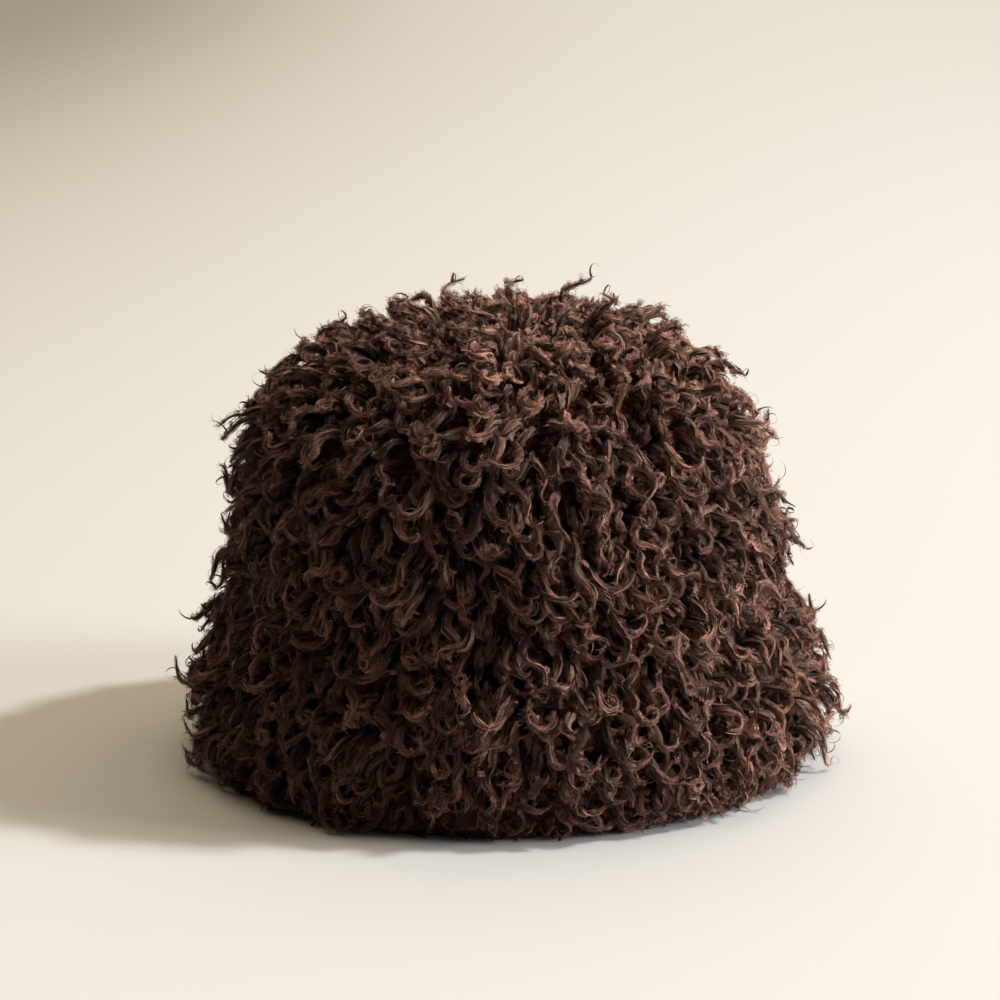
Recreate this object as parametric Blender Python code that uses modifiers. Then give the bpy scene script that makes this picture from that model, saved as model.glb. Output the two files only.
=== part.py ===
"""A faux fur bucket hat, standing on its brim with the crown up.

It is sewn from three panels of fur cloth: a round crown tip, a crown side band and a flared brim.
Each panel is a backing cloth wall with its long curly pile as locks that grow from the cloth.
Metres, +Z up, the front of the hat towards -Y. The origin is on the ground under the hat's middle.
"""

import math
import random
from collections import namedtuple

import bmesh
import bpy
from mathutils import Matrix, Vector

# Outer face of the backing cloth
HEADLINE_RADIUS = 0.1000
HEM_RADIUS = 0.1130
BRIM_HEIGHT = 0.0600
BRIM_SWELL = 0.0090
CLOTH_HEIGHT = 0.1700
CROWN_TAPER = 0.0110
CROWN_SQUARENESS = 5.0
DEPTH_OVER_WIDTH = 1.02

# The crown tip is cut so that its edge lies this far from its middle, along the cloth
TIP_CUT_RADIUS = 0.0840

# Cloth, seams and pile
CLOTH_THICKNESS = 0.0025
SEAM_GAP = 0.0004
PILE_LENGTH = 0.0310
FLOOR_CLEARANCE = 0.0004

# How many locks stand round and across each panel
AROUND = 36
TIP_ACROSS = AROUND // 4
SIDE_ROWS = 5
BRIM_ROWS = 4

# A row for each soft hollow (or, below zero, swelling) in the cloth. Bearing is in degrees from the
# hat's right side, anticlockwise from above. Height is a share of the cloth's height, depth a share
# of the headline radius, and spread and reach are the half width in degrees and share of height.
Hollow = namedtuple("Hollow", "bearing height depth spread reach")
HOLLOWS = (
    Hollow(bearing=-62, height=0.90, depth=0.060, spread=20, reach=0.13),
    Hollow(bearing=-34, height=0.93, depth=-0.045, spread=15, reach=0.11),
    Hollow(bearing=5, height=0.80, depth=0.035, spread=36, reach=0.17),
    Hollow(bearing=178, height=0.76, depth=-0.035, spread=38, reach=0.20),
    Hollow(bearing=165, height=0.97, depth=0.045, spread=34, reach=0.07),
    Hollow(bearing=0, height=0.24, depth=-0.025, spread=42, reach=0.20),
    Hollow(bearing=-118, height=0.42, depth=0.025, spread=28, reach=0.18),
    Hollow(bearing=75, height=0.62, depth=0.030, spread=32, reach=0.24),
)

# Sections of one lock, from just above the cloth to its curled tip. Rise and reach are shares of the
# pile length, and turn is how far the lock has bent over in degrees. Width (across the bend) and depth
# are shares of the room that the lock has there between its neighbours.
Section = namedtuple("Section", "rise reach turn width depth")
LOCK_SECTIONS = (
    Section(rise=0.40, reach=0.02, turn=8, width=0.92, depth=0.85),
    Section(rise=0.78, reach=0.08, turn=34, width=0.82, depth=0.67),
    Section(rise=0.92, reach=0.27, turn=95, width=0.41, depth=0.31),
)

# How much one lock differs from the next. The lean swings in slow waves round the hat, which turn by
# the climb in radians from the ground to the top. At the hem, where the pile stands on the ground, it
# curls less and is tucked in by a share of its length.
LENGTH_SPREAD = 0.06
LEAN_SWING = 18
LEAN_WAVES = 3
LEAN_WAVE_CLIMB = 9.0
LEAN_SPREAD = 5
CURL_SPREAD = 0.08
HEM_CURL_SHARE = 0.20
HEM_TUCK = 0.14
TIP_SWIRL = 0.25
TIP_WHORL_SHARE = 0.35
TIP_SPLAY = 0.24

# The locks' roots stand in rows that are staggered, wavy and a little uneven, in shares of a lock
STAGGER = 0.16
ROW_WAVE = 0.12
ROW_WAVE_COLUMNS = 4
ROW_WAVE_TURN = 1.7
ROOT_SPREAD = 0.10
LOCK_SEED = 18

# The fur's colour, how much lighter or darker each panel's cut is, and where its facets stay crisp
FUR_COLOUR = (0.085, 0.042, 0.030)
FUR_ROUGHNESS = 0.85
TIP_SHADE = 1.10
SIDE_SHADE = 1.0
BRIM_SHADE = 0.92
CRISP_ANGLE = 50


def clear_scene():
    for obj in list(bpy.data.objects):
        bpy.data.objects.remove(obj)


def fur_cloth_material(name, shade):
    """Dark brown curly pile. The panels differ a little in shade, as cut pieces do."""
    material = bpy.data.materials.new(name)
    material.use_nodes = True
    shader = material.node_tree.nodes["Principled BSDF"]
    shader.inputs["Base Color"].default_value = [c * shade for c in FUR_COLOUR] + [1.0]
    shader.inputs["Roughness"].default_value = FUR_ROUGHNESS
    shader.inputs["Metallic"].default_value = 0.0
    return material


def crown_curve(steps=400):
    """The crown's section from the headline to its middle, as (length so far, radius, height)."""
    curve = []
    length = 0.0
    for step in range(steps + 1):
        angle = math.pi / 2 * step / steps
        up = math.sin(angle) ** (2 / CROWN_SQUARENESS)
        across = math.cos(angle) ** (2 / CROWN_SQUARENESS) if step < steps else 0.0
        radius = (HEADLINE_RADIUS - CROWN_TAPER * up) * across
        height = BRIM_HEIGHT + (CLOTH_HEIGHT - BRIM_HEIGHT) * up
        if curve:
            length += math.dist(curve[-1][1:], (radius, height))
        curve.append((length, radius, height))
    return curve


CROWN_CURVE = crown_curve()
SIDE_CUT_LENGTH = CROWN_CURVE[-1][0] - TIP_CUT_RADIUS


def crown_at(length):
    """Radius and height of the crown's section, that far along the cloth from the headline."""
    for before, after in zip(CROWN_CURVE, CROWN_CURVE[1:]):
        if length <= after[0]:
            share = (length - before[0]) / (after[0] - before[0])
            return tuple(a + (b - a) * share for a, b in zip(before[1:], after[1:]))
    return CROWN_CURVE[-1][1:]


def hollow_at(bearing, height):
    """How far the cloth is pushed in there, in metres."""
    depth = 0.0
    for hollow in HOLLOWS:
        apart = math.remainder(math.degrees(bearing) - hollow.bearing, 360)
        across = (apart / hollow.spread) ** 2
        up = ((height / CLOTH_HEIGHT - hollow.height) / hollow.reach) ** 2
        depth += hollow.depth * HEADLINE_RADIUS * math.exp(-across - up)
    return depth


def on_oval(radius, bearing, height):
    """A point of the cloth's outer face, with the soft hollows taken off its radius."""
    radius -= hollow_at(bearing, height) * radius / HEADLINE_RADIUS
    return Vector(
        (
            radius * math.cos(bearing),
            radius * math.sin(bearing) * DEPTH_OVER_WIDTH,
            height,
        )
    )


def brim_point(along, up):
    """along is 0 to 1 round the hat, up is 0 at the hem and 1 at the headline seam."""
    radius = HEM_RADIUS + (HEADLINE_RADIUS - HEM_RADIUS) * up
    radius += BRIM_SWELL * math.sin(math.pi * up)
    height = (BRIM_HEIGHT - SEAM_GAP / 2) * up
    return on_oval(radius, 2 * math.pi * along, height)


def side_point(along, up):
    """up is 0 at the headline seam and 1 at the shoulder seam."""
    radius, height = crown_at(SEAM_GAP / 2 + (SIDE_CUT_LENGTH - SEAM_GAP / 2) * up)
    return on_oval(radius, 2 * math.pi * along, height)


def tip_point(across, deep):
    """across and deep are -1 to 1 over a square that is drawn out into a disc."""
    x = across * math.sqrt(1 - deep * deep / 2)
    y = deep * math.sqrt(1 - across * across / 2)
    share = min(1.0, math.hypot(x, y))
    radius, height = crown_at(SIDE_CUT_LENGTH + SEAM_GAP + (TIP_CUT_RADIUS - SEAM_GAP) * (1 - share))
    return on_oval(radius, math.atan2(y, x), height)


def sheet(name, across, up, place, closed, chance):
    """An open sheet of across by up quads, laid out by place. A closed one meets itself round the hat."""
    bm = bmesh.new()
    bmesh.ops.create_grid(bm, x_segments=across, y_segments=up, size=1.0)
    shifts = {}
    for vert in bm.verts:
        column = round((vert.co.x + 1) / 2 * across)
        row = round((vert.co.y + 1) / 2 * up)
        inside = 0 < row < up and (closed or 0 < column < across)
        key = (column % across if closed else column, row)
        if key not in shifts:
            shifts[key] = [chance.uniform(-ROOT_SPREAD, ROOT_SPREAD) * inside for _ in "xy"]
            if closed:
                shifts[key][0] += STAGGER * (-1) ** row
                wave = math.sin(2 * math.pi * column / ROW_WAVE_COLUMNS + ROW_WAVE_TURN * row)
                shifts[key][1] += ROW_WAVE * wave * inside
        column += shifts[key][0]
        row += shifts[key][1]
        if closed:
            vert.co = place(column / across, row / up)
        else:
            vert.co = place(column / across * 2 - 1, row / up * 2 - 1)
    bmesh.ops.remove_doubles(bm, verts=bm.verts, dist=SEAM_GAP / 10)
    bmesh.ops.recalc_face_normals(bm, faces=bm.faces)
    middle = Vector((0, 0, BRIM_HEIGHT))
    if sum((f.calc_center_median() - middle).dot(f.normal) for f in bm.faces) < 0:
        bmesh.ops.reverse_faces(bm, faces=bm.faces)
    mesh = bpy.data.meshes.new(name)
    bm.to_mesh(mesh)
    bm.free()
    return bpy.data.objects.new(name, mesh)


OUTSIDE, INSIDE, EDGE = range(3)


def cloth_wall(obj, collection):
    """Thickens the sheet inwards to the cloth's wall. Each face's material slot says which side it is."""
    for _ in (OUTSIDE, INSIDE, EDGE):
        obj.data.materials.append(None)
    collection.objects.link(obj)
    solidify = obj.modifiers.new("cloth", "SOLIDIFY")
    solidify.thickness = CLOTH_THICKNESS
    solidify.offset = -1
    solidify.use_even_offset = True
    solidify.material_offset = INSIDE
    solidify.material_offset_rim = EDGE
    graph = bpy.context.evaluated_depsgraph_get()
    wall = bpy.data.meshes.new_from_object(obj.evaluated_get(graph))
    obj.modifiers.remove(solidify)
    return wall


def level_cut_edges(wall, height_below, height_above):
    """Levels each cut edge of the cloth, so that it meets the next panel, or the ground, squarely."""
    bm = bmesh.new()
    bm.from_mesh(wall)
    middle = sum(vert.co.z for vert in bm.verts) / len(bm.verts)
    for face in bm.faces:
        if face.material_index == EDGE:
            for vert in face.verts:
                low = height_above is None or vert.co.z < middle
                vert.co.z = height_below if low else height_above
    bm.to_mesh(wall)
    bm.free()


def brim_pile(centre, normal):
    """Which way the brim's pile stands and leans: straight out in spite of the flare, and down."""
    return Vector((normal.x, normal.y, 0)).normalized(), Vector((0, 0, -1))


def side_pile(centre, normal):
    """The crown side's pile stands square to the cloth and leans down."""
    return normal, Vector((0, 0, -1))


def tip_pile(centre, normal):
    """The tip's pile splays outwards over the shoulder and leans away from a whorl, with a slight swirl."""
    outward = Vector((centre.x, centre.y, 0)) / HEADLINE_RADIUS
    swirl = Vector((outward.y, -outward.x, 0)) * TIP_SWIRL
    whorl = Vector((0, -TIP_WHORL_SHARE, 0))
    return (normal + outward * TIP_SPLAY).normalized(), outward + swirl + whorl


def lean_swing(centre):
    """The slow waves in which the pile lies, in degrees."""
    bearing = math.atan2(centre.y, centre.x)
    return LEAN_SWING * math.sin(LEAN_WAVES * bearing + LEAN_WAVE_CLIMB * centre.z / CLOTH_HEIGHT)


def plan_lock(face, pile, chance):
    """Where one lock stands, which way it leans, and how long and curly it is."""
    centre = face.calc_center_median()
    out, lean = pile(centre, face.normal.copy())
    lean = (lean - out * lean.dot(out)).normalized()
    angle = math.radians(lean_swing(centre) + chance.uniform(-LEAN_SPREAD, LEAN_SPREAD))
    lean.rotate(Matrix.Rotation(angle, 3, out))
    above_hem = min(1.0, centre.z / BRIM_HEIGHT)
    curl = HEM_CURL_SHARE + (1 - HEM_CURL_SHARE) * above_hem
    length = PILE_LENGTH * (1 - HEM_TUCK * (1 - above_hem) ** 2)
    return {
        "root": centre,
        "out": out,
        "lean": lean,
        "side": out.cross(lean),
        "length": length * (1 + chance.uniform(-LENGTH_SPREAD, LENGTH_SPREAD)),
        "curl": curl * (1 + chance.uniform(-CURL_SPREAD, CURL_SPREAD)),
    }


def fan_out(face, lock, locks, number, axis):
    """How fast the locks beside this one draw apart along an axis, per metre out from the cloth."""
    apart, weight = 0.0, 0.0
    for edge in face.edges:
        for other in edge.link_faces:
            if other is not face and other.material_index == OUTSIDE:
                beside = locks[other[number]]
                step = (beside["root"] - lock["root"]).dot(axis)
                apart += (beside["out"] - lock["out"]).dot(axis) * step
                weight += step * step
    return apart / weight


def grow_locks(wall, pile, chance):
    """Draws each outer face of the wall out into one lock that curls over at its tip."""
    bm = bmesh.new()
    bm.from_mesh(wall)
    bm.normal_update()
    number = bm.faces.layers.int.new("lock")
    roots = [face for face in bm.faces if face.material_index == OUTSIDE]
    for index, face in enumerate(roots):
        face[number] = index
    locks = [plan_lock(face, pile, chance) for face in roots]
    for face, lock in zip(roots, locks):
        lock["widen"] = fan_out(face, lock, locks, number, lock["side"])
        lock["deepen"] = fan_out(face, lock, locks, number, lock["lean"])
    ends = roots
    before = Section(rise=0, reach=0, turn=0, width=1, depth=1)
    for section in LOCK_SECTIONS:
        ends = bmesh.ops.extrude_discrete_faces(bm, faces=ends)["faces"]
        for face in ends:
            move_section(face, locks[face[number]], before, section)
        before = section
    for face in bm.faces:
        face.material_index = 0
    bm.faces.layers.int.remove(number)
    bm.normal_update()
    bm.to_mesh(wall)
    bm.free()


def section_frame(lock, section):
    """The middle of a lock's section, and its three axes: sideways, across the bend, and along."""
    turn = math.radians(section.turn) * lock["curl"]
    bent = lock["lean"] * math.cos(turn) - lock["out"] * math.sin(turn)
    along = lock["out"] * math.cos(turn) + lock["lean"] * math.sin(turn)
    middle = lock["root"] + lock["out"] * lock["length"] * section.rise
    middle += lock["lean"] * lock["length"] * section.reach * lock["curl"]
    return middle, (lock["side"], bent, along)


def section_size(lock, section):
    """A section's width and depth as shares of the root's, filling the room that the locks fan out to."""
    rise = lock["length"] * section.rise
    return section.width * (1 + lock["widen"] * rise), section.depth * (1 + lock["deepen"] * rise)


def move_section(face, lock, before, after):
    """Carries the corners of a lock's end from one section to the next, above the ground."""
    old_middle, old_axes = section_frame(lock, before)
    new_middle, new_axes = section_frame(lock, after)
    old_size, new_size = section_size(lock, before), section_size(lock, after)
    growth = (new_size[0] / old_size[0], new_size[1] / old_size[1], 0.0)
    for vert in face.verts:
        offset = vert.co - old_middle
        vert.co = new_middle.copy()
        for old, new, scale in zip(old_axes, new_axes, growth):
            vert.co += new * offset.dot(old) * scale
        vert.co.z = max(vert.co.z, FLOOR_CLEARANCE)


def panel(name, across, up, place, closed, ends, pile, shade, collection, chance):
    """One named panel of the hat: its cloth wall with the locks of its pile."""
    obj = sheet(name, across, up, place, closed, chance)
    wall = cloth_wall(obj, collection)
    level_cut_edges(wall, *ends)
    grow_locks(wall, pile, chance)
    flat_sheet = obj.data
    obj.data = wall
    bpy.data.meshes.remove(flat_sheet)
    wall.name = name
    wall.materials.clear()
    wall.materials.append(fur_cloth_material(name + "_fur_cloth", shade))
    wall.shade_smooth()
    wall.set_sharp_from_angle(angle=math.radians(CRISP_ANGLE))
    return obj


def centre_on_ground(pieces):
    """Puts the origin on the ground, under the middle of the hat's outline."""
    corners = [vert.co for piece in pieces for vert in piece.data.vertices]
    middle_x, middle_y = (
        (min(co[axis] for co in corners) + max(co[axis] for co in corners)) / 2 for axis in (0, 1)
    )
    for piece in pieces:
        piece.data.transform(Matrix.Translation((-middle_x, -middle_y, 0)))


def build_hat():
    clear_scene()
    hat = bpy.data.collections.new("bucket_hat")
    bpy.context.scene.collection.children.link(hat)
    chance = random.Random(LOCK_SEED)
    tip_foot = crown_at(SIDE_CUT_LENGTH + SEAM_GAP)[1]
    side_top = crown_at(SIDE_CUT_LENGTH)[1]
    side_foot = crown_at(SEAM_GAP / 2)[1]
    brim_top = BRIM_HEIGHT - SEAM_GAP / 2
    pieces = [
        panel(
            name="crown_tip",
            across=TIP_ACROSS,
            up=TIP_ACROSS,
            place=tip_point,
            closed=False,
            ends=(tip_foot, None),
            pile=tip_pile,
            shade=TIP_SHADE,
            collection=hat,
            chance=chance,
        ),
        panel(
            name="crown_side",
            across=AROUND,
            up=SIDE_ROWS,
            place=side_point,
            closed=True,
            ends=(side_foot, side_top),
            pile=side_pile,
            shade=SIDE_SHADE,
            collection=hat,
            chance=chance,
        ),
        panel(
            name="brim",
            across=AROUND,
            up=BRIM_ROWS,
            place=brim_point,
            closed=True,
            ends=(0.0, brim_top),
            pile=brim_pile,
            shade=BRIM_SHADE,
            collection=hat,
            chance=chance,
        ),
    ]
    centre_on_ground(pieces)


build_hat()
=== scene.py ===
import math

import bpy
import numpy as np
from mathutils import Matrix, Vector


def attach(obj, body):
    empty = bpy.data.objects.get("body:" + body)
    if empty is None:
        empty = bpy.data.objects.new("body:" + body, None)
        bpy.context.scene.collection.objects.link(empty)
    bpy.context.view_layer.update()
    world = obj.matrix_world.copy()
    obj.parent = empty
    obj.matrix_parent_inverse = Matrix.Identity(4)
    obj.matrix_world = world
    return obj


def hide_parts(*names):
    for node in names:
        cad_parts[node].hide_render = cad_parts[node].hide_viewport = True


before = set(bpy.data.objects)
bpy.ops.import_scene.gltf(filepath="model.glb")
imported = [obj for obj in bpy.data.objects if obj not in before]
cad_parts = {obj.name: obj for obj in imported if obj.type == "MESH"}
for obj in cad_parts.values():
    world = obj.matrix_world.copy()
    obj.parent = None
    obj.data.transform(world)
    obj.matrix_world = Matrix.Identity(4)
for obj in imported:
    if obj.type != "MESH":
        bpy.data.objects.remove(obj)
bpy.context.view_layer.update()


# The view. The camera stands a little above the table on a long lens and looks straight at the
# hat's front, so that the crown's side fills the picture and a thin slice of its top shows.
VIEW_DISTANCE = 1.3
VIEW_RISE = 14.0
VIEW_WIDTH = 0.446
VIEW_CENTRE = Vector((-0.0045, 0.0, 0.113))
SENSOR_WIDTH = 36.0

camera = bpy.data.objects.new("camera", bpy.data.cameras.new("camera"))
bpy.context.scene.collection.objects.link(camera)
rise = math.radians(VIEW_RISE)
backwards = Vector((0, -math.cos(rise), math.sin(rise)))
camera.location = VIEW_CENTRE + backwards * VIEW_DISTANCE
camera.rotation_euler = (-backwards).to_track_quat("-Z", "Y").to_euler()
camera.data.sensor_width = SENSOR_WIDTH
camera.data.lens = SENSOR_WIDTH * VIEW_DISTANCE / VIEW_WIDTH
bpy.context.scene.camera = camera
bpy.context.scene.view_settings.view_transform = "Standard"


# The table is a plain cream sheet that runs far back, with a painted shade towards its far left corner.
# A key light from the right throws the hat's shadow to the left. Wide warm window light comes from
# above and behind, a light box stands far off at the right, and very little light fills the front.
FLOOR_HALF_WIDTH = 8.0
FLOOR_COLOUR = (0.470, 0.470, 0.466)
# The darkest point of the painted shade, in a plan of the table squashed front to back. Each step is a
# distance from it and the share of colour left there, and the warmth is how much faster green and blue
# fade.
PAINTED_SHADE_SQUASH = (1.0, 0.18, 0.0)
PAINTED_SHADE_CORNER = (-0.95, 0.75, 0.0)
PAINTED_SHADE_STEPS = ((0.20, 0.44), (0.50, 0.66), (0.80, 0.86), (1.15, 0.96), (1.60, 1.0))
PAINTED_SHADE_WARMTH = (1.0, 1.10, 1.35)
# Bearings run anticlockwise from the hat's right, and rises up from the table, in degrees
KEY_BEARING = 8.0
KEY_RISE = 48.0
KEY_STRENGTH = 3.3
KEY_ANGLE = 5.0
KEY_COLOUR = (0.97, 0.985, 1.0)
WINDOW_BEARING = 85.0
WINDOW_RISE = 68.0
WINDOW_STRENGTH = 3.1
WINDOW_ANGLE = 76.0
WINDOW_COLOUR = (1.0, 0.83, 0.60)
HAT_MIDDLE = Vector((0.0, 0.0, 0.1))
SIDE_PLACE = Vector((3.5, -0.4, 1.0))
SIDE_SIZE = 1.4
SIDE_POWER = 190.0
FILL_PLACE = Vector((1.9, -2.0, 1.6))
FILL_SIZE = 1.2
FILL_POWER = 5.0
SKY_COLOUR = (1.0, 0.90, 0.74)
SKY_STRENGTH = 0.01


def link_to_scene(obj):
    """The same object, now in the scene."""
    bpy.context.scene.collection.objects.link(obj)
    return obj


half = FLOOR_HALF_WIDTH
floor_corners = [(-half, -half, 0), (half, -half, 0), (half, half, 0), (-half, half, 0)]
floor_mesh = bpy.data.meshes.new("floor")
floor_mesh.from_pydata(floor_corners, [], [(0, 1, 2, 3)])
floor = link_to_scene(bpy.data.objects.new("floor", floor_mesh))
floor_paint = bpy.data.materials.new("cream_paper")
floor_paint.use_nodes = True
paper = floor_paint.node_tree.nodes["Principled BSDF"]
paper_nodes, paper_links = floor_paint.node_tree.nodes, floor_paint.node_tree.links
# A soft shadow is painted into the paper's colour, darkest at its far left corner
table_spot = paper_nodes.new("ShaderNodeTexCoord")
squashed = paper_nodes.new("ShaderNodeVectorMath")
squashed.operation = "MULTIPLY"
squashed.inputs[1].default_value = PAINTED_SHADE_SQUASH
paper_links.new(table_spot.outputs["Object"], squashed.inputs[0])
far = paper_nodes.new("ShaderNodeVectorMath")
far.operation = "DISTANCE"
far.inputs[1].default_value = PAINTED_SHADE_CORNER
paper_links.new(squashed.outputs["Vector"], far.inputs[0])
reach = paper_nodes.new("ShaderNodeMath")
reach.operation = "DIVIDE"
reach.inputs[1].default_value = PAINTED_SHADE_STEPS[-1][0]
paper_links.new(far.outputs["Value"], reach.inputs[0])
painted_shade_ramp = paper_nodes.new("ShaderNodeValToRGB")
painted_shade_ramp.color_ramp.interpolation = "B_SPLINE"
while len(painted_shade_ramp.color_ramp.elements) < len(PAINTED_SHADE_STEPS):
    painted_shade_ramp.color_ramp.elements.new(0.5)
for stop, (distance, share) in zip(painted_shade_ramp.color_ramp.elements, PAINTED_SHADE_STEPS):
    stop.position = distance / PAINTED_SHADE_STEPS[-1][0]
    stop.color = (*(part * share**power for part, power in zip(FLOOR_COLOUR, PAINTED_SHADE_WARMTH)), 1)
paper_links.new(reach.outputs["Value"], painted_shade_ramp.inputs["Fac"])
paper_links.new(painted_shade_ramp.outputs["Color"], paper.inputs["Base Color"])
paper.inputs["Roughness"].default_value = 0.9
paper.inputs["Specular IOR Level"].default_value = 0.1
floor_mesh.materials.append(floor_paint)


def sun_lamp(name, bearing, rise, strength, angle, colour):
    """Even light from far off, which looks as wide as this angle in degrees."""
    lamp = link_to_scene(bpy.data.objects.new(name, bpy.data.lights.new(name, "SUN")))
    bearing, rise = math.radians(bearing), math.radians(rise)
    level = math.cos(rise)
    towards = Vector((math.cos(bearing) * level, math.sin(bearing) * level, math.sin(rise)))
    lamp.rotation_euler = towards.to_track_quat("Z", "Y").to_euler()
    lamp.data.energy = strength
    lamp.data.angle = math.radians(angle)
    lamp.data.color = colour


sun_lamp("key_light", KEY_BEARING, KEY_RISE, KEY_STRENGTH, KEY_ANGLE, KEY_COLOUR)
sun_lamp("window_light", WINDOW_BEARING, WINDOW_RISE, WINDOW_STRENGTH, WINDOW_ANGLE, WINDOW_COLOUR)


def soft_lamp(name, place, size, power):
    """A square light box that faces the middle of the hat."""
    lamp = link_to_scene(bpy.data.objects.new(name, bpy.data.lights.new(name, "AREA")))
    lamp.location = place
    lamp.rotation_euler = (place - HAT_MIDDLE).to_track_quat("Z", "Y").to_euler()
    lamp.data.size = size
    lamp.data.energy = power


soft_lamp("side_light", SIDE_PLACE, SIDE_SIZE, SIDE_POWER)
soft_lamp("fill_light", FILL_PLACE, FILL_SIZE, FILL_POWER)

world = bpy.context.scene.world or bpy.data.worlds.new("studio")
bpy.context.scene.world = world
world.use_nodes = True
sky = world.node_tree.nodes["Background"]
sky.inputs["Color"].default_value = (*SKY_COLOUR, 1)
sky.inputs["Strength"].default_value = SKY_STRENGTH


# The backing is three cut panels of plain knit cloth, sewn edge to edge at the headline and at the
# shoulder: the flared brim, the crown side and the round tip. The short dense undercoat that grows
# from its outer face fills the space between the locks' roots.
HEADLINE_RADIUS = 0.1000
HEM_RADIUS = 0.1130
BRIM_HEIGHT = 0.0600
BRIM_SWELL = 0.0090
CLOTH_HEIGHT = 0.1700
CROWN_TAPER = 0.0110
CROWN_SQUARENESS = 5.0
DEPTH_OVER_WIDTH = 1.02
TIP_CUT_RADIUS = 0.0840
CLOTH_THICKNESS = 0.0025
SEAM_GAP = 0.0004
CLOTH_SHIFT = np.array((-0.001383, 0.000172, 0.0))
# Bearing, height, depth, spread and reach of each soft hollow, or below zero each swelling
HOLLOWS = (
    (-62, 0.90, 0.060, 20, 0.13),
    (-34, 0.93, -0.045, 15, 0.11),
    (5, 0.80, 0.035, 36, 0.17),
    (178, 0.76, -0.035, 38, 0.20),
    (165, 0.97, 0.045, 34, 0.07),
    (0, 0.24, -0.025, 42, 0.20),
    (-118, 0.42, 0.025, 28, 0.18),
    (75, 0.62, 0.030, 32, 0.24),
)
# The tip's rows of faces stop this short of its middle
TIP_HOLE = 0.0005
PANEL_AROUND = 160
UNDERCOAT_STEP = 0.0040
UNDERCOAT_HEIGHT = 0.0110
UNDERCOAT_CLUMP = 0.0040
# How far a clump reaches, as a share of the space between roots
CLUMP_REACH = 0.45
# How far the undercoat and the cloth stay above the table
UNDERCOAT_CLEARANCE = 0.0015
CLOTH_CLEARANCE = 0.0006


def cloth_section(steps=600):
    """Run along the cloth, radius and height, from the hem up to the middle of the tip."""
    up = np.linspace(0, 1, steps // 3)
    brim_radius = HEM_RADIUS + (HEADLINE_RADIUS - HEM_RADIUS) * up + BRIM_SWELL * np.sin(np.pi * up)
    angle = np.linspace(0, np.pi / 2, steps)[1:]
    crown_up = np.sin(angle) ** (2 / CROWN_SQUARENESS)
    crown_across = np.maximum(np.cos(angle), 0) ** (2 / CROWN_SQUARENESS)
    radius = np.concatenate((brim_radius, (HEADLINE_RADIUS - CROWN_TAPER * crown_up) * crown_across))
    height = np.concatenate((BRIM_HEIGHT * up, BRIM_HEIGHT + (CLOTH_HEIGHT - BRIM_HEIGHT) * crown_up))
    radius[-1] = 0.0
    run = np.concatenate(((0.0,), np.cumsum(np.hypot(np.diff(radius), np.diff(height)))))
    return run, radius, height


SECTION_RUN, SECTION_RADIUS, SECTION_HEIGHT = cloth_section()
FULL_RUN = SECTION_RUN[-1]
SHOULDER_RUN = FULL_RUN - TIP_CUT_RADIUS
HEADLINE_RUN = float(np.interp(BRIM_HEIGHT, SECTION_HEIGHT, SECTION_RUN))


def cloth_point(bearing, run):
    """Points of the cloth's outer face at these bearings, and these runs up the cloth from the hem."""
    radius = np.interp(run, SECTION_RUN, SECTION_RADIUS)
    height = np.interp(run, SECTION_RUN, SECTION_HEIGHT)
    pushed = 0.0
    for at, level, depth, spread, reach in HOLLOWS:
        apart = (np.degrees(bearing) - at + 180) % 360 - 180
        near = np.exp(-((apart / spread) ** 2) - ((height / CLOTH_HEIGHT - level) / reach) ** 2)
        pushed = pushed + depth * HEADLINE_RADIUS * near
    radius = radius * (1 - pushed / HEADLINE_RADIUS)
    point = (radius * np.cos(bearing), radius * np.sin(bearing) * DEPTH_OVER_WIDTH, height)
    return np.stack(point, axis=-1) + CLOTH_SHIFT


def unit(vectors):
    """The same directions at a length of one."""
    return vectors / np.maximum(np.linalg.norm(vectors, axis=-1, keepdims=True), 1e-9)


def cloth_out(bearing, run):
    """The cloth's outward normal there."""
    nudge, turn = 0.0008, 0.004
    low = np.clip(run - nudge, 0, FULL_RUN - 3e-3)
    high = np.clip(run + nudge, 1e-3, FULL_RUN - 2e-3)
    up = cloth_point(bearing, high) - cloth_point(bearing, low)
    level = np.minimum(run, FULL_RUN - 2e-3)
    along = cloth_point(bearing + turn, level) - cloth_point(bearing - turn, level)
    return unit(np.cross(along, up))


def scatter_roots(spacing, chance):
    """Bearings, runs and places of the locks' roots, spread evenly and at random over the cloth."""
    tries, from_hem, from_middle = 60000, 0.002, 0.001
    run = chance.uniform(from_hem, FULL_RUN - from_middle, tries)
    fits = chance.uniform(0, SECTION_RADIUS.max(), tries) < np.interp(run, SECTION_RUN, SECTION_RADIUS)
    bearing = chance.uniform(0, 2 * np.pi, tries)
    run, bearing = run[fits], bearing[fits]
    places = cloth_point(bearing, run)
    # Each root that is kept fills one row, and the empty row after it lies far from the hat
    kept, chosen = np.full((len(places), 3), 9.0), []
    for number, place in enumerate(places):
        near = kept[:len(chosen) + 1]
        if np.min(np.sum((near - place) ** 2, axis=1)) > spacing**2:
            kept[len(chosen)] = place
            chosen.append(number)
    return bearing[chosen], run[chosen], places[chosen]


ROOT_SPACING = 0.0046
ROOT_SEED = 7
root_bearing, root_run, root_place = scatter_roots(ROOT_SPACING, np.random.default_rng(ROOT_SEED))


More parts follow.
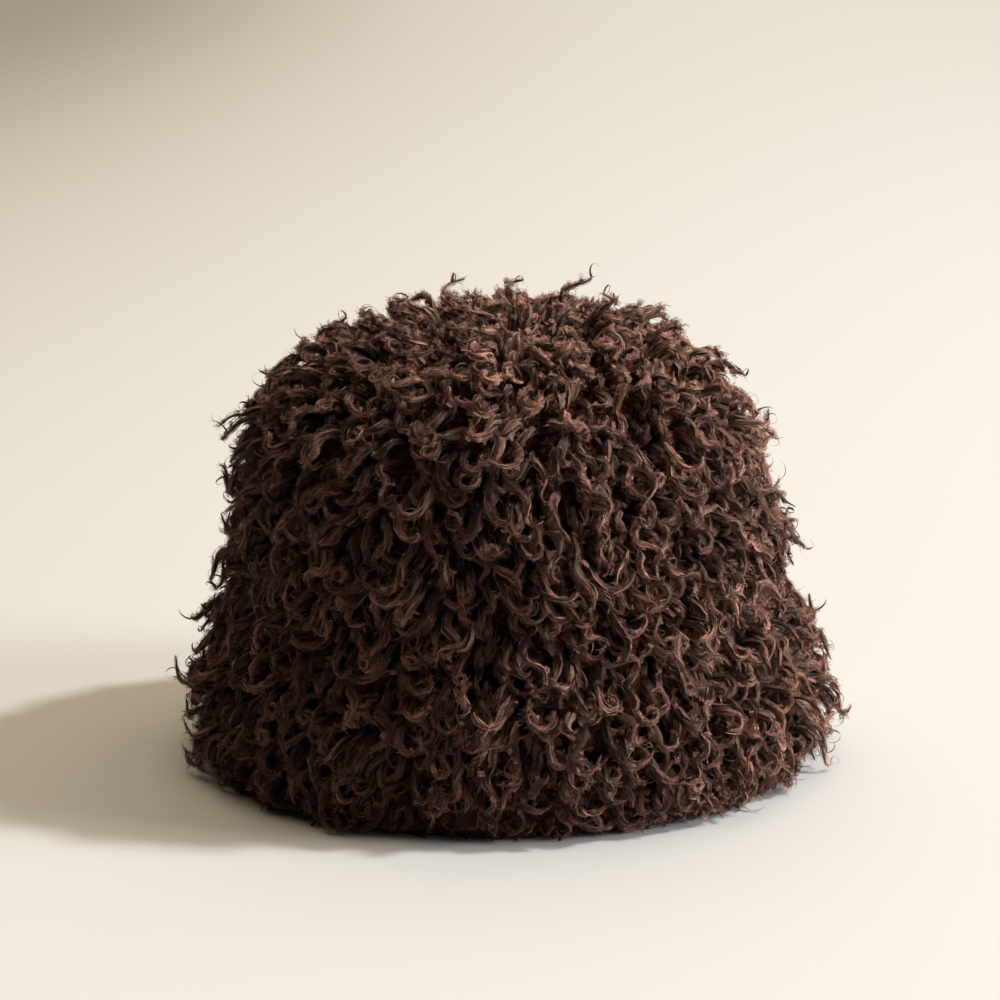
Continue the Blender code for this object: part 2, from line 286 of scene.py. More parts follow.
def mesh_object(name, points, quads, uv=None):
    """An object from arrays of points, four-cornered faces and, if given, each corner's UV."""
    mesh = bpy.data.meshes.new(name)
    mesh.vertices.add(len(points))
    mesh.vertices.foreach_set("co", np.ascontiguousarray(points, dtype=np.float32).ravel())
    mesh.loops.add(quads.size)
    mesh.loops.foreach_set("vertex_index", np.ascontiguousarray(quads, dtype=np.int32).ravel())
    mesh.polygons.add(len(quads))
    mesh.polygons.foreach_set("loop_start", np.arange(0, quads.size, 4, dtype=np.int32))
    mesh.polygons.foreach_set("use_smooth", np.ones(len(quads), dtype=bool))
    if uv is not None:
        layer = mesh.uv_layers.new(name="OFBake")
        layer.data.foreach_set("uv", np.ascontiguousarray(uv, dtype=np.float32).ravel())
    mesh.update()
    return link_to_scene(bpy.data.objects.new(name, mesh))


def backing_panel(name, run_start, run_end, node):
    """One panel: the knit face inside, the undercoat outside, drawn up into a clump at each root."""
    rows = round((run_end - run_start) / UNDERCOAT_STEP)
    runs = np.linspace(run_start, run_end, rows + 1)
    bearings = np.linspace(0, 2 * np.pi, PANEL_AROUND, endpoint=False)
    bearing, run = np.meshgrid(bearings, runs)
    cloth = cloth_point(bearing, run)
    out = cloth_out(bearing, run)
    gap = np.sqrt(np.min(np.sum((cloth.reshape(-1, 1, 3) - root_place[None]) ** 2, axis=-1), axis=1))
    clump = np.exp(-((gap.reshape(cloth.shape[:2]) / (ROOT_SPACING * CLUMP_REACH)) ** 2))
    height = UNDERCOAT_HEIGHT + UNDERCOAT_CLUMP * clump
    outer = cloth + out * height[..., None]
    near_hem = cloth[..., 2] < 0.01
    outer[..., 2] = np.maximum(outer[..., 2], UNDERCOAT_CLEARANCE + 0.25 * cloth[..., 2] * near_hem)
    inner = cloth - out * CLOTH_THICKNESS
    inner[..., 2] = np.maximum(inner[..., 2], CLOTH_CLEARANCE)
    shell = np.concatenate((inner[:1], outer, inner[::-1]), axis=0)
    count = len(shell)
    index = np.arange(count * PANEL_AROUND).reshape(count, PANEL_AROUND)
    below, above = index[:-1], index[1:]
    quads = np.stack((below, np.roll(below, -1, 1), np.roll(above, -1, 1), above), axis=-1)
    obj = mesh_object(name, shell.reshape(-1, 3), quads.reshape(-1, 4))
    obj.data.materials.append(undercoat)
    obj.data.materials.append(knit)
    inside = np.repeat(np.arange(count - 1) > len(outer), PANEL_AROUND).astype(np.int32)
    obj.data.polygons.foreach_set("material_index", inside)
    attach(obj, "root")
    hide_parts(node)


def fur_material(name):
    """A new material, with its nodes and links."""
    material = bpy.data.materials.new(name)
    material.use_nodes = True
    return material, material.node_tree.nodes, material.node_tree.links


def fine_fibres():
    """A group of nodes that gives the light and dark of fine fibres, and their height for bump."""
    group = bpy.data.node_groups.new("fine_fibres", "ShaderNodeTree")
    for name, kind in (("Place", "Vector"), ("Waver", "Float"), ("Dark", "Float"), ("Light", "Float")):
        group.interface.new_socket(name, in_out="INPUT", socket_type="NodeSocket" + kind)
    for name in ("Shade", "Height"):
        group.interface.new_socket(name, in_out="OUTPUT", socket_type="NodeSocketFloat")
    start, end = group.nodes.new("NodeGroupInput"), group.nodes.new("NodeGroupOutput")
    noise = group.nodes.new("ShaderNodeTexNoise")
    noise.inputs["Scale"].default_value = 1.0
    noise.inputs["Detail"].default_value = 3.0
    noise.inputs["Roughness"].default_value = 0.6
    spread = group.nodes.new("ShaderNodeMapRange")
    spread.inputs["From Min"].default_value = 0.38
    spread.inputs["From Max"].default_value = 0.64
    group.links.new(start.outputs["Place"], noise.inputs["Vector"])
    group.links.new(start.outputs["Waver"], noise.inputs["Distortion"])
    group.links.new(noise.outputs["Fac"], spread.inputs["Value"])
    group.links.new(start.outputs["Dark"], spread.inputs["To Min"])
    group.links.new(start.outputs["Light"], spread.inputs["To Max"])
    group.links.new(spread.outputs["Result"], end.inputs["Shade"])
    group.links.new(noise.outputs["Fac"], end.inputs["Height"])
    return group


fibre_group = fine_fibres()


def add_fibres(nodes, links, coordinate, scale, dark, light, waver=0.0):
    """The group in a material, with its pattern stretched by this scale along each coordinate."""
    stretch = nodes.new("ShaderNodeVectorMath")
    stretch.operation = "MULTIPLY"
    stretch.inputs[1].default_value = scale
    links.new(coordinate, stretch.inputs[0])
    fibres = nodes.new("ShaderNodeGroup")
    fibres.node_tree = fibre_group
    fibres.inputs["Waver"].default_value = waver
    fibres.inputs["Dark"].default_value = dark
    fibres.inputs["Light"].default_value = light
    links.new(stretch.outputs["Vector"], fibres.inputs["Place"])
    return fibres


def shaded(nodes, links, colour, shades):
    """A colour multiplied by each of these shades."""
    for shade in shades:
        scaled = nodes.new("ShaderNodeVectorMath")
        scaled.operation = "SCALE"
        links.new(colour, scaled.inputs[0])
        links.new(shade, scaled.inputs["Scale"])
        colour = scaled.outputs["Vector"]
    return colour


def add_bump(nodes, links, height, strength, distance):
    """Raises this height as bump on the material's shader."""
    bump = nodes.new("ShaderNodeBump")
    bump.inputs["Strength"].default_value = strength
    bump.inputs["Distance"].default_value = distance
    links.new(height, bump.inputs["Height"])
    links.new(bump.outputs["Normal"], nodes["Principled BSDF"].inputs["Normal"])


def plain_colour(nodes, colour):
    """A colour that the shades can multiply."""
    source = nodes.new("ShaderNodeRGB")
    source.outputs["Color"].default_value = (*colour, 1)
    return source.outputs["Color"]


UNDERCOAT_COLOUR = (0.042, 0.0170, 0.0115)
undercoat, nodes, links = fur_material("undercoat")
shader = nodes["Principled BSDF"]
shader.inputs["Roughness"].default_value = 0.95
shader.inputs["Specular IOR Level"].default_value = 0.0
spot = nodes.new("ShaderNodeTexCoord").outputs["Object"]
fibres = add_fibres(nodes, links, spot, (900.0, 900.0, 420.0), 0.15, 1.6)
clumps = add_fibres(nodes, links, spot, (170.0, 170.0, 110.0), 0.4, 1.3)
shades = (fibres.outputs["Shade"], clumps.outputs["Shade"])
undercoat_shaded = shaded(nodes, links, plain_colour(nodes, UNDERCOAT_COLOUR), shades)
links.new(undercoat_shaded, shader.inputs["Base Color"])
add_bump(nodes, links, fibres.outputs["Height"], 1.0, 0.0015)

# The knit's fine ribs run up the cloth, and its courses of loops cross them
KNIT_COLOUR = (0.085, 0.045, 0.032)
KNIT_RIB = 0.0016
knit, nodes, links = fur_material("knit_backing")
shader = nodes["Principled BSDF"]
shader.inputs["Roughness"].default_value = 0.88
shader.inputs["Specular IOR Level"].default_value = 0.2
spot = nodes.new("ShaderNodeTexCoord").outputs["Object"]
yarn = add_fibres(nodes, links, spot, (1400.0, 1400.0, 1400.0), 0.6, 1.25)
wear = add_fibres(nodes, links, spot, (45.0, 45.0, 45.0), 0.8, 1.12)
split = nodes.new("ShaderNodeSeparateXYZ")
links.new(spot, split.inputs["Vector"])
turn = nodes.new("ShaderNodeMath")
turn.operation = "ARCTAN2"
links.new(split.outputs["Y"], turn.inputs[0])
links.new(split.outputs["X"], turn.inputs[1])
loops = []
for source, count in (
    (turn.outputs["Value"], HEADLINE_RADIUS / KNIT_RIB),
    (split.outputs["Z"], 1 / KNIT_RIB),
):
    wave = nodes.new("ShaderNodeMath")
    wave.operation = "MULTIPLY"
    wave.inputs[1].default_value = 2 * math.pi * count
    links.new(source, wave.inputs[0])
    ridge = nodes.new("ShaderNodeMath")
    ridge.operation = "SINE"
    links.new(wave.outputs["Value"], ridge.inputs[0])
    loops.append(ridge.outputs["Value"])
crossed = nodes.new("ShaderNodeMath")
crossed.operation = "MULTIPLY"
links.new(loops[0], crossed.inputs[0])
links.new(loops[1], crossed.inputs[1])
grooves = nodes.new("ShaderNodeMapRange")
grooves.inputs["From Min"].default_value = -1.0
grooves.inputs["To Min"].default_value = 0.55
grooves.inputs["To Max"].default_value = 1.15
links.new(crossed.outputs["Value"], grooves.inputs["Value"])
shades = (yarn.outputs["Shade"], wear.outputs["Shade"], grooves.outputs["Result"])
knit_shaded = shaded(nodes, links, plain_colour(nodes, KNIT_COLOUR), shades)
links.new(knit_shaded, shader.inputs["Base Color"])
add_bump(nodes, links, crossed.outputs["Value"], 0.7, 0.0004)

for node, slot, run_start, run_end in (
    ("brim", "brim_fur", 0.0, HEADLINE_RUN - SEAM_GAP / 2),
    ("crown_side", "side_fur", HEADLINE_RUN + SEAM_GAP / 2, SHOULDER_RUN - SEAM_GAP / 2),
    ("crown_tip", "tip_fur", SHOULDER_RUN + SEAM_GAP / 2, FULL_RUN - TIP_HOLE),
):
    backing_panel(node + "_backing", run_start, run_end, node)


# The pile is long curly faux fur in separate locks. Each is a twisted bundle of fine woolly fibres
# that rises from the cloth, bends over and hangs, and ends in a hook, a ringlet, a wave or a crook.
# A lock is modelled as a thin core wrapped in ribbons, whose material leaves only the hairs on them.
PILE_LENGTH = 0.0318
LONGEST_PILE = 0.056
ROOT_HEIGHT = 0.008
LOCK_LENGTHS = (0.026, 0.038)
LOCK_RADII = (0.0014, 0.0025)
CORE_SHARE = 0.74
START_LEANS = (18, 40)
TWISTS = (2.0, 5.5)
# How far a lock may be squeezed or drawn out to reach the pile's outline
STRETCHES = (0.25, 1.9)
LOCK_SEGMENTS = 12
LOCK_SIDES = 3
LOCK_SEED = 21
# The ribbons of fine hairs that wrap each lock
CARDS = 6
CARD_WIDTHS = (0.0013, 0.0022)
CARD_FRAY = 0.0009
CARD_RIPPLE = 0.0003
# The map "OFBake" holds across a lock's tone, with its painted light and shade, and up it the run
# along a core and then along a ribbon
CORE_BAND = 0.11
CARD_BAND = 0.030
CORE_TOP = 0.28
CARD_START = 0.32
# Hooks, ringlets, waves and crooks: their share, and their turn, wave and lean of the tip in degrees
LOCK_KINDS = (
    (0.44, (140, 230), (8, 22), (78, 124)),
    (0.20, (270, 390), (4, 14), (80, 116)),
    (0.20, (20, 80), (40, 62), (76, 112)),
    (0.16, (0, 60), (5, 20), (140, 225)),
)
WAVE, CROOK = 2, 3
# Bearing, height, how much longer the pile is there as a share, spread in degrees and reach in metres
FULLER = (
    (0, 0.076, 0.46, 48, 0.032),
    (180, 0.074, 0.22, 50, 0.024),
    (-90, 0.066, 0.10, 60, 0.020),
    (90, 0.066, 0.15, 60, 0.020),
    (180, 0.102, 0.40, 50, 0.024),
    (180, 0.158, 0.46, 45, 0.022),
    (-90, 0.163, 0.16, 50, 0.022),
    (180, 0.050, 0.18, 50, 0.060),
    (0, 0.114, 0.38, 45, 0.026),
    (0, 0.035, 0.20, 45, 0.040),
    (0, 0.159, 0.66, 45, 0.022),
    (-59, 0.160, -0.82, 20, 0.012),
    (-90, 0.010, -0.60, 42, 0.034),
    (-142, 0.012, 0.20, 26, 0.025),
    (90, 0.006, -0.30, 55, 0.018),
)
# What stands off the locks: "on" is the range of segments that it grows from, "bend" its curl in
# degrees, "stand" how far it leans out and "band" its width on the map. Lengths are in metres.
# The fuzz's paler tone is painted light, the glow of fine hairs lit from behind
FUZZ = {
    "on": (3, 13), "length": (0.0018, 0.0044), "width": (0.00018, 0.00034), "bend": (5, 40), "rows": 1,
    "taper": 0.85, "stand": 0.0, "paler": 0.15, "band": 0.012, "woolly": False,
}
TUFTS = {
    "on": (2, 9), "length": (0.0024, 0.0048), "width": (0.0018, 0.0034), "bend": (10, 100), "rows": 2,
    "taper": 0.20, "stand": 0.3, "paler": 0.08, "band": 0.060, "woolly": True,
}
HOOKS = {
    "on": (6, 13), "length": (0.0085, 0.0140), "width": (0.0008, 0.0014), "bend": (130, 290), "rows": 7,
    "taper": 0.90, "stand": 1.0, "paler": -0.08, "band": 0.020, "woolly": False,
}
FUZZ_EACH = 11
TIP_FUZZ_EACH = 16
TUFTS_EACH, MORE_ON_RIGHT, MORE_ON_TOP = 4, 5, 6
PILE_CLEARANCE = 0.0004
FUR_TONES = (
    (0.00, (0.029, 0.0097, 0.0060)),
    (0.35, (0.066, 0.0258, 0.0172)),
    (0.65, (0.127, 0.0548, 0.0387)),
    (1.00, (0.26, 0.131, 0.096)),
)


def smooth_step(x):
    """A share from 0 to 1, eased at both ends."""
    x = np.clip(x, 0, 1)
    return x * x * (3 - 2 * x)


def fullness(bearing, height):
    """How much longer or shorter the pile is there than its plain length."""
    longer = 1.0
    for at, level, share, spread, reach in FULLER:
        apart = (np.degrees(bearing) - at + 180) % 360 - 180
        longer = longer + share * np.exp(-((apart / spread) ** 2) - ((height - level) / reach) ** 2)
    return longer


def plan_locks(bearing, run, place, chance):
    """Where each lock of a panel starts, its directions and the numbers that shape it."""
    count = len(bearing)

    def between(low, high):
        return chance.uniform(low, high, count)

    radial = unit(np.stack((np.cos(bearing), np.sin(bearing), np.zeros(count)), axis=-1))
    low = np.clip(1 - run / HEADLINE_RUN, 0, 1)[:, None]
    top = smooth_step((run - SHOULDER_RUN + 0.012) / 0.03)
    right = np.clip(np.cos(bearing), 0, 1)
    # Near the hem the locks leave the cloth more level, and round the tip they fan out
    out = cloth_out(bearing, run)
    out = unit(out * (1 - 0.8 * low) + unit(out * np.array((1, 1, 0))) * 0.8 * low)
    fan = 0.24 * top * np.hypot(place[:, 0], place[:, 1]) / HEADLINE_RADIUS
    out = unit(out + radial * fan[:, None])
    # On the sides they hang down, and on the top they fall outwards and to the front
    over = radial * 0.9 + chance.normal(0, 0.33, (count, 3)) + np.array((0.0, -0.3, 0.0))
    lean = np.array((0.0, 0.0, -1.0)) * (1 - top[:, None]) + over * top[:, None]
    lean = unit(lean - out * np.sum(lean * out, axis=1, keepdims=True))
    kind = chance.choice(len(LOCK_KINDS), count, p=[row[0] for row in LOCK_KINDS])
    kind = np.where((between(0, 1) < 0.55 * right) & (kind < WAVE), WAVE, kind)
    kind = np.where((between(0, 1) < top) & (kind == WAVE), CROOK, kind)
    # Neighbours mostly curl the same way, in patches
    patch = np.sign(np.sin(6 * bearing + 3 * np.sin(45 * place[:, 2])))
    hand = np.where(between(0, 1) < 0.82, patch, -patch)
    turn, wave, tip_lean = (
        np.choose(kind, [between(*row[part]) for row in LOCK_KINDS]) for part in (1, 2, 3)
    )
    flow = 16 * np.sin(5 * bearing + 70 * place[:, 2] + 2 * np.sin(3 * bearing))
    longer = fullness(bearing, place[:, 2])
    target = PILE_LENGTH * longer * (1 + 0.18 * top)
    # Painted light: locks are paler towards the right and on the top, where the light falls on them
    tone_and_painted_light = chance.normal(0.5, 0.15, count) + 0.14 * np.cos(bearing) + 0.20 * top
    return {
        "place": place,
        "out": out,
        "lean": lean,
        "side": np.cross(out, lean),
        "length": between(*LOCK_LENGTHS) * (1 - 0.12 * top),
        "start_lean": np.radians(between(*START_LEANS) * (1 - 0.4 * top)),
        "end_lean": np.radians(tip_lean),
        "bent_by": between(0.45, 0.66) + 0.15 * top,
        "swing": np.radians(chance.normal(0, 12, count) + (30 * np.cos(bearing) + flow) * (1 - top)),
        "turn": np.radians(turn) * hand,
        "wave": np.radians(wave),
        "waves": between(1.2, 2.0),
        "phase": between(0, 2 * np.pi),
        "begin": between(0.36, 0.54),
        "tighten": between(1.0, 1.5),
        "target": np.minimum(target * between(0.76, 1.03) - 0.0030, LONGEST_PILE),
        "radius": between(*LOCK_RADII) * (1 - 0.12 * top),
        # Painted shade: the locks darken where the pile is shorter, in its hollows
        "tone_and_painted_light": np.clip(tone_and_painted_light - 0.30 * np.clip(1 - longer, 0, 1), 0.05, 0.94),
        "twist": between(*TWISTS) * chance.choice((-1.0, 1.0), count),
        "tufts": np.round(TUFTS_EACH + MORE_ON_RIGHT * right + MORE_ON_TOP * top).astype(int),
    }


def lock_swell(share):
    """How thick a lock is along its length, as a share of its greatest radius."""
    opening = 0.55 + 0.45 * np.sin(np.pi / 2 * np.clip(share / 0.5, 0, 1))
    return opening * (1 - 0.80 * np.clip((share - 0.42) / 0.58, 0, 1) ** 1.4)


def keep_off_floor(points, thick):
    """Squeezes each lock towards its root where it would pass below the floor, and then upwards alone."""
    margin, least_room, most_squeezed = 0.0008, 0.0005, 0.6
    root = points[:, :1]
    room = np.maximum(root[:, 0, 2] - (thick + margin).max(axis=1), least_room)
    drop = root[:, 0, 2] - points[..., 2].min(axis=1)
    squeeze = np.minimum(1, room / np.maximum(drop, 1e-5))[:, None]
    points = root + (points - root) * np.maximum(squeeze, most_squeezed)[..., None]
    drop = root[:, 0, 2] - points[..., 2].min(axis=1)
    squeeze = np.minimum(1, room / np.maximum(drop, 1e-5))[:, None]
    sunk = points[..., 2] - root[..., 2]
    points[..., 2] = root[..., 2] + np.where(sunk < 0, sunk * squeeze, sunk)
    return points


def lock_paths(plan):
    """Each lock's middle line, and two directions across it at every point."""
    x = np.linspace(0, 1, LOCK_SEGMENTS + 1)
    share = x + 0.6 * x * (1 - x)

    def column(name):
        return plan[name][:, None]

    bent = smooth_step(share / column("bent_by"))
    tilt = (column("start_lean") + (column("end_lean") - column("start_lean")) * bent)[..., None]
    curl = np.clip((share - column("begin")) / (1 - column("begin")), 0, 1) ** column("tighten")
    rippled = np.sin(2 * np.pi * column("waves") * share + column("phase")) * smooth_step(share * 3)
    aim = (column("swing") + column("turn") * curl + column("wave") * rippled)[..., None]
    out, lean, side = (plan[name][:, None, :] for name in ("out", "lean", "side"))
    ahead = np.cos(tilt) * out + np.sin(tilt) * (np.cos(aim) * lean + np.sin(aim) * side)
    steps = (ahead[:, 1:] + ahead[:, :-1]) / 2 * np.diff(share)[:, None] * column("length")[..., None]
    offset = np.concatenate((np.zeros_like(ahead[:, :1]), np.cumsum(steps, axis=1)), axis=1)
    rise = np.sum(offset * out, axis=-1)
    stretch = (plan["target"] - ROOT_HEIGHT) / np.maximum(rise.max(axis=1), 1e-4)
    offset = offset + out * (rise * (np.clip(stretch, *STRETCHES)[:, None] - 1))[..., None]
    thick = column("radius") * lock_swell(share)
    points = keep_off_floor(plan["place"][:, None, :] + out * ROOT_HEIGHT + offset, thick)
    ahead = unit(np.gradient(points, axis=1))
    across = np.empty_like(ahead)
    across[:, 0] = unit(np.cross(ahead[:, 0], plan["side"]))
    for k in range(1, LOCK_SEGMENTS + 1):
        last, now = across[:, k - 1], ahead[:, k]
        across[:, k] = unit(last - now * np.sum(last * now, axis=1, keepdims=True))
    beside = np.cross(ahead, across)
    return {"points": points, "across": across, "beside": beside, "share": share, "thick": thick}


def corner_runs(share):
    """How far along each face's four corners lie, from row to row."""
    return np.stack((share[:-1], share[:-1], share[1:], share[1:]), axis=-1)


def corner_map(u, v):
    """One list of UVs from arrays that fit together."""
    return np.stack(np.broadcast_arrays(u, v), axis=-1).reshape(-1, 2)


def ribbon_quads(shape):
    """The faces of ribbons whose points lie two to a row, in arrays of this shape."""
    index = np.arange(np.prod(shape) * 2).reshape(*shape, 2)
    below, above = index[..., :-1, :], index[..., 1:, :]
    return np.stack((below[..., 0], below[..., 1], above[..., 1], above[..., 0]), axis=-1).reshape(-1, 4)


def lock_cores(paths, plan, chance):
    """The body of each lock, as a tapered tube whose uneven sides wind round its middle line."""
    share, thick = paths["share"], paths["thick"]
    count, rows = thick.shape
    angle = np.arange(LOCK_SIDES) / LOCK_SIDES * 2 * np.pi
    angle = (angle + plan["twist"][:, None, None] * share[:, None])[..., None]
    lobes = 1 + chance.normal(0, 0.16, (count, 1, LOCK_SIDES))
    ring = paths["across"][:, :, None] * np.cos(angle) + paths["beside"][:, :, None] * np.sin(angle)
    closing = np.append(np.ones(rows - 1), 0.35)[:, None]
    reach = thick[:, :, None] * lobes * closing * CORE_SHARE
    verts = paths["points"][:, :, None] + ring * reach[..., None]
    index = np.arange(count * rows * LOCK_SIDES).reshape(count, rows, LOCK_SIDES)
    below, above = index[:, :-1], index[:, 1:]
    quads = np.stack((below, np.roll(below, -1, 2), np.roll(above, -1, 2), above), axis=-1)
    fold = CORE_BAND * (1 - np.abs(2 * np.arange(LOCK_SIDES + 1) / LOCK_SIDES - 1))
    u = 0.02 + 0.60 * plan["tone_and_painted_light"][:, None, None, None] + np.zeros((1, rows - 1, 1, 1))
    u = u + np.stack((fold[:-1], fold[1:], fold[1:], fold[:-1]), axis=-1)
    v = CORE_TOP * corner_runs(share)[:, None]
    return verts.reshape(-1, 3), quads.reshape(-1, 4), corner_map(u, v)


def lock_cards(paths, plan, chance):
    """The fibres that wrap each lock, as ribbons of fine hairs that twist round its middle line."""
    share, thick = paths["share"], paths["thick"]
    count, rows = thick.shape
    each = (count, CARDS, 1)

    def between(low, high):
        return chance.uniform(low, high, each)

    turned = (np.arange(CARDS)[:, None] + between(-0.3, 0.3)) / CARDS * 2 * np.pi
    turned = turned + plan["twist"][:, None, None] * share
    turned = (turned + 0.35 * np.sin(2 * np.pi * (between(1, 3) * share + between(0, 1))))[..., None]
    lift = between(0.80, 1.12)
    fray = between(0, 1) ** 2 * CARD_FRAY * share**2
    ripple = CARD_RIPPLE * np.sin(2 * np.pi * (between(2, 5) * share + between(0, 1)))
    radial = paths["across"][:, None] * np.cos(turned) + paths["beside"][:, None] * np.sin(turned)
    middle = paths["points"][:, None] + radial * (thick[:, None] * lift + fray + ripple)[..., None]
    ahead = unit(np.gradient(middle, axis=2))
    width = between(*CARD_WIDTHS) * (0.35 + 0.65 * lock_swell(share))
    facing = radial + 0.5 * np.cross(radial, ahead) * chance.normal(0, 1, (count, CARDS, 1, 1))
    half_across = unit(np.cross(ahead, facing)) * (width / 2)[..., None]
    verts = np.stack((middle - half_across, middle + half_across), axis=3)
    tone_and_painted_light = np.clip(plan["tone_and_painted_light"][:, None, None] + chance.normal(0.06, 0.13, each), 0.02, 0.98)
    u = 0.01 + 0.95 * tone_and_painted_light[..., None] + np.array((0.0, CARD_BAND, CARD_BAND, 0.0))
    v = CARD_START + (1 - CARD_START) * corner_runs(share)
    return verts.reshape(-1, 3), ribbon_quads((count, CARDS, rows)), corner_map(u, v)


def loose_hairs(paths, plan, chance, each, shape):
    """What stands off the locks: short fuzz, tufts of soft woolly hairs, or longer hooked hairs."""
    points, share = paths["points"], paths["share"]
    lock = np.repeat(np.arange(len(points)), each)
    total, rows = len(lock), shape["rows"]
    at = chance.integers(*shape["on"], total)
    angle = chance.uniform(0, 2 * np.pi, (total, 1))
    radial = paths["across"][lock, at] * np.cos(angle) + paths["beside"][lock, at] * np.sin(angle)
    forward = unit(points[lock, at] - points[lock, at - 1])
    heading = radial * chance.uniform(0.5, 1.2, (total, 1))
    heading = heading + forward * chance.uniform(0.2, 1.1, (total, 1))
    heading = unit(heading + plan["out"][lock] * shape["stand"] + chance.normal(0, 0.35, (total, 3)))
    axis = unit(np.cross(heading, chance.normal(0, 1, (total, 3))))
    length, width, bend = (
        chance.uniform(*shape[name], (total, 1)) for name in ("length", "width", "bend")
    )
    x = np.linspace(0, 1, rows + 1)
    turned = (np.radians(bend) * x)[..., None]
    ahead = heading[:, None] * np.cos(turned) + np.cross(axis, heading)[:, None] * np.sin(turned)
    step = (ahead[:, 1:] + ahead[:, :-1]) / 2 * (length / rows)[..., None]
    start = points[lock, at] + radial * (paths["thick"][lock, at] * 0.8)[:, None]
    offset = np.concatenate((np.zeros((total, 1, 3)), np.cumsum(step, axis=1)), axis=1)
    middle = start[:, None] + offset
    half_across = axis[:, None] * (width * (1 - shape["taper"] * x) / 2)[..., None]
    verts = np.stack((middle - half_across, middle + half_across), axis=2)
    tone_and_painted_light = np.clip(plan["tone_and_painted_light"][lock] + shape["paler"] + chance.normal(0, 0.12, total), 0.02, 0.98)
    u = (0.02 + 0.90 * tone_and_painted_light)[:, None, None] + shape["band"] * np.array((0.0, 1.0, 1.0, 0.0))
    run = corner_runs(x)
    if shape["woolly"]:
        v = CARD_START + (1 - CARD_START) * (0.3 + 0.7 * run)
    else:
        v = CORE_TOP * np.clip(share[at][:, None, None] + 0.2 * run, 0, 1)
    return verts.reshape(-1, 3), ribbon_quads((total, rows + 1)), corner_map(u, v)


fur, nodes, links = fur_material("curly_pile")
shader = nodes["Principled BSDF"]
shader.inputs["Roughness"].default_value = 0.55
shader.inputs["Specular IOR Level"].default_value = 0.14
shader.inputs["Sheen Weight"].default_value = 0.25
shader.inputs["Sheen Roughness"].default_value = 0.40
shader.inputs["Sheen Tint"].default_value = (0.95, 0.78, 0.72, 1)
uv_map = nodes.new("ShaderNodeUVMap")
uv_map.uv_map = "OFBake"
split = nodes.new("ShaderNodeSeparateXYZ")
links.new(uv_map.outputs["UV"], split.inputs["Vector"])
tones = nodes.new("ShaderNodeValToRGB")
while len(tones.color_ramp.elements) < len(FUR_TONES):
    tones.color_ramp.elements.new(0.5)
for stop, (position, colour) in zip(tones.color_ramp.elements, FUR_TONES):
    stop.position = position
    stop.color = (*colour, 1)
links.new(split.outputs["X"], tones.inputs["Fac"])
# How far along its lock a point lies, read from the map's band for cores or for ribbons
on_card = nodes.new("ShaderNodeMath")
on_card.operation = "GREATER_THAN"
on_card.inputs[1].default_value = (CORE_TOP + CARD_START) / 2
links.new(split.outputs["Y"], on_card.inputs[0])
core_share = nodes.new("ShaderNodeMapRange")
core_share.inputs["From Max"].default_value = CORE_TOP
links.new(split.outputs["Y"], core_share.inputs["Value"])
card_share = nodes.new("ShaderNodeMapRange")
card_share.inputs["From Min"].default_value = CARD_START
links.new(split.outputs["Y"], card_share.inputs["Value"])
along = nodes.new("ShaderNodeMix")
links.new(on_card.outputs["Value"], along.inputs["Factor"])
links.new(core_share.outputs["Result"], along.inputs["A"])
links.new(card_share.outputs["Result"], along.inputs["B"])
along = along.outputs["Result"]
# Streaks and frizz along the hairs. Painted shade darkens them towards the roots, deep in the pile,
# and darkens the cores inside the ribbons.
streaks = add_fibres(nodes, links, uv_map.outputs["UV"], (150.0, 9.0, 0.0), 0.25, 1.75, 0.6)
frizz = add_fibres(nodes, links, uv_map.outputs["UV"], (150.0, 70.0, 0.0), 0.45, 1.65)
# Painted shade: darker towards the roots, where the pile shades itself
depth = nodes.new("ShaderNodeMapRange")
depth.inputs["From Min"].default_value = 0.1
depth.inputs["From Max"].default_value = 0.75
depth.inputs["To Min"].default_value = 0.10
depth.inputs["To Max"].default_value = 1.1
links.new(along, depth.inputs["Value"])
# Painted shade: the cores inside each lock are darker than the ribbons round them
outer = nodes.new("ShaderNodeMapRange")
outer.inputs["To Min"].default_value = 0.72
outer.inputs["To Max"].default_value = 1.12
links.new(on_card.outputs["Value"], outer.inputs["Value"])
shades = (
    depth.outputs["Result"],
    outer.outputs["Result"],
    streaks.outputs["Shade"],
    frizz.outputs["Shade"],
)
fur_shaded = shaded(nodes, links, tones.outputs["Color"], shades)
links.new(fur_shaded, shader.inputs["Base Color"])
add_bump(nodes, links, streaks.outputs["Height"], 0.6, 0.0004)
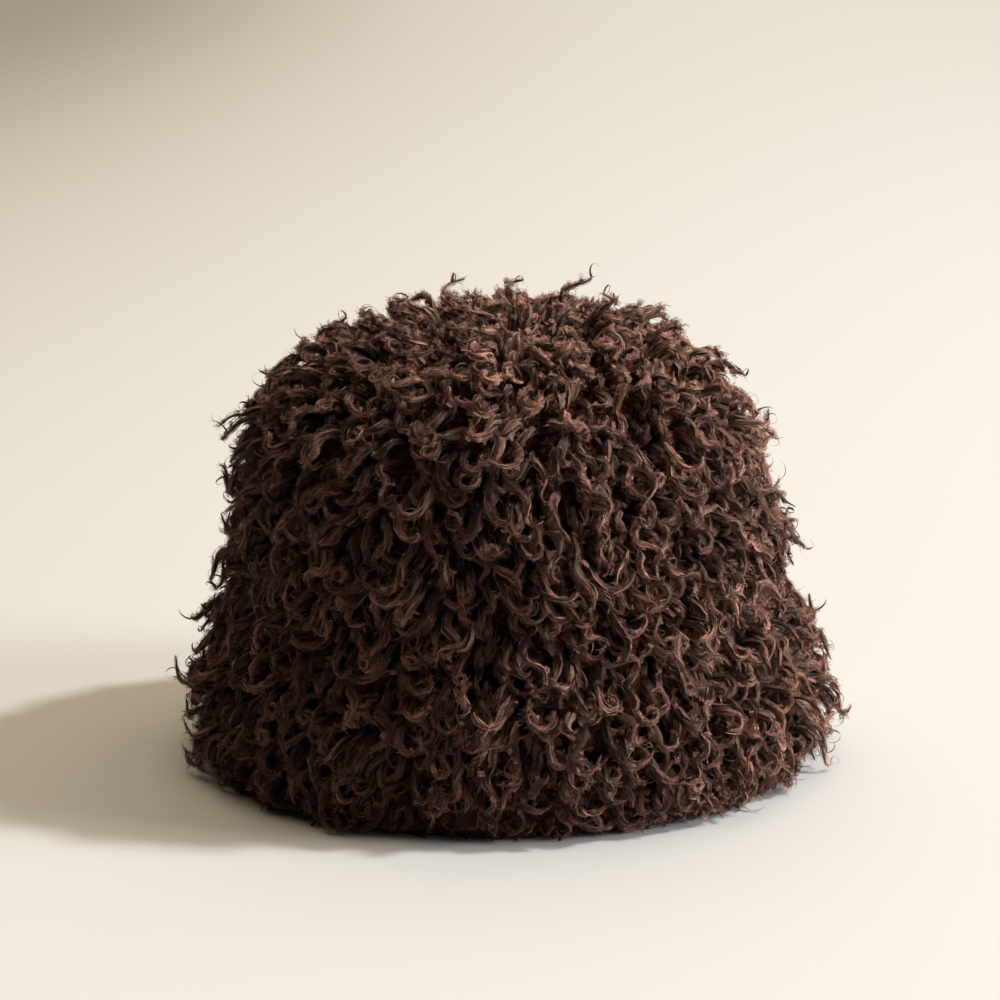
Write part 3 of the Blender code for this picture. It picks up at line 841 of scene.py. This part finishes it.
# Between the hairs the ribbons are clear, the more so towards the tips, and the cores are solid
thinning = nodes.new("ShaderNodeMapRange")
thinning.inputs["From Min"].default_value = 0.4
thinning.inputs["To Min"].default_value = 0.44
thinning.inputs["To Max"].default_value = 0.56
links.new(along, thinning.inputs["Value"])
above = nodes.new("ShaderNodeMath")
above.operation = "SUBTRACT"
links.new(streaks.outputs["Height"], above.inputs[0])
links.new(thinning.outputs["Result"], above.inputs[1])
hair = nodes.new("ShaderNodeMapRange")
hair.inputs["From Max"].default_value = 0.03
links.new(above.outputs["Value"], hair.inputs["Value"])
core = nodes.new("ShaderNodeMath")
core.operation = "SUBTRACT"
core.inputs[0].default_value = 1.0
links.new(on_card.outputs["Value"], core.inputs[1])
solid = nodes.new("ShaderNodeMath")
solid.operation = "MAXIMUM"
links.new(core.outputs["Value"], solid.inputs[0])
links.new(hair.outputs["Result"], solid.inputs[1])
links.new(solid.outputs["Value"], shader.inputs["Alpha"])


def grow_pile(name, chosen, node, chance, fuzz_each):
    """One piece of pile from the chosen roots: cores, ribbons, fuzz, woolly tufts and hooked hairs."""
    plan = plan_locks(root_bearing[chosen], root_run[chosen], root_place[chosen], chance)
    paths = lock_paths(plan)
    parts = (
        lock_cores(paths, plan, chance),
        lock_cards(paths, plan, chance),
        loose_hairs(paths, plan, chance, fuzz_each, FUZZ),
        loose_hairs(paths, plan, chance, plan["tufts"], TUFTS),
        loose_hairs(paths, plan, chance, 1, HOOKS),
    )
    verts = np.concatenate([part[0] for part in parts])
    verts[:, 2] = np.maximum(verts[:, 2], PILE_CLEARANCE)
    starts = np.cumsum([0] + [len(part[0]) for part in parts[:-1]])
    quads = np.concatenate([part[1] + start for part, start in zip(parts, starts)])
    obj = mesh_object(name, verts, quads, np.concatenate([part[2] for part in parts]))
    obj.data.materials.append(fur)
    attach(obj, "root")
    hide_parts(node)


chance = np.random.default_rng(LOCK_SEED)
# The side and the brim are each grown in three parts, by bearing
sector = ((np.degrees(root_bearing) + 150) % 360 // 120).astype(int)
on_brim = root_run < HEADLINE_RUN
on_tip = root_run > SHOULDER_RUN
on_side = ~on_brim & ~on_tip
grow_pile("crown_tip_pile", on_tip, "crown_tip", chance, TIP_FUZZ_EACH)
for node, slot, on_panel in (("crown_side", "side_fur", on_side), ("brim", "brim_fur", on_brim)):
    for number, place in enumerate(("front", "right_back", "left_back")):
        chosen = on_panel & (sector == number)
        grow_pile(node + "_pile_" + place, chosen, node, chance, FUZZ_EACH)
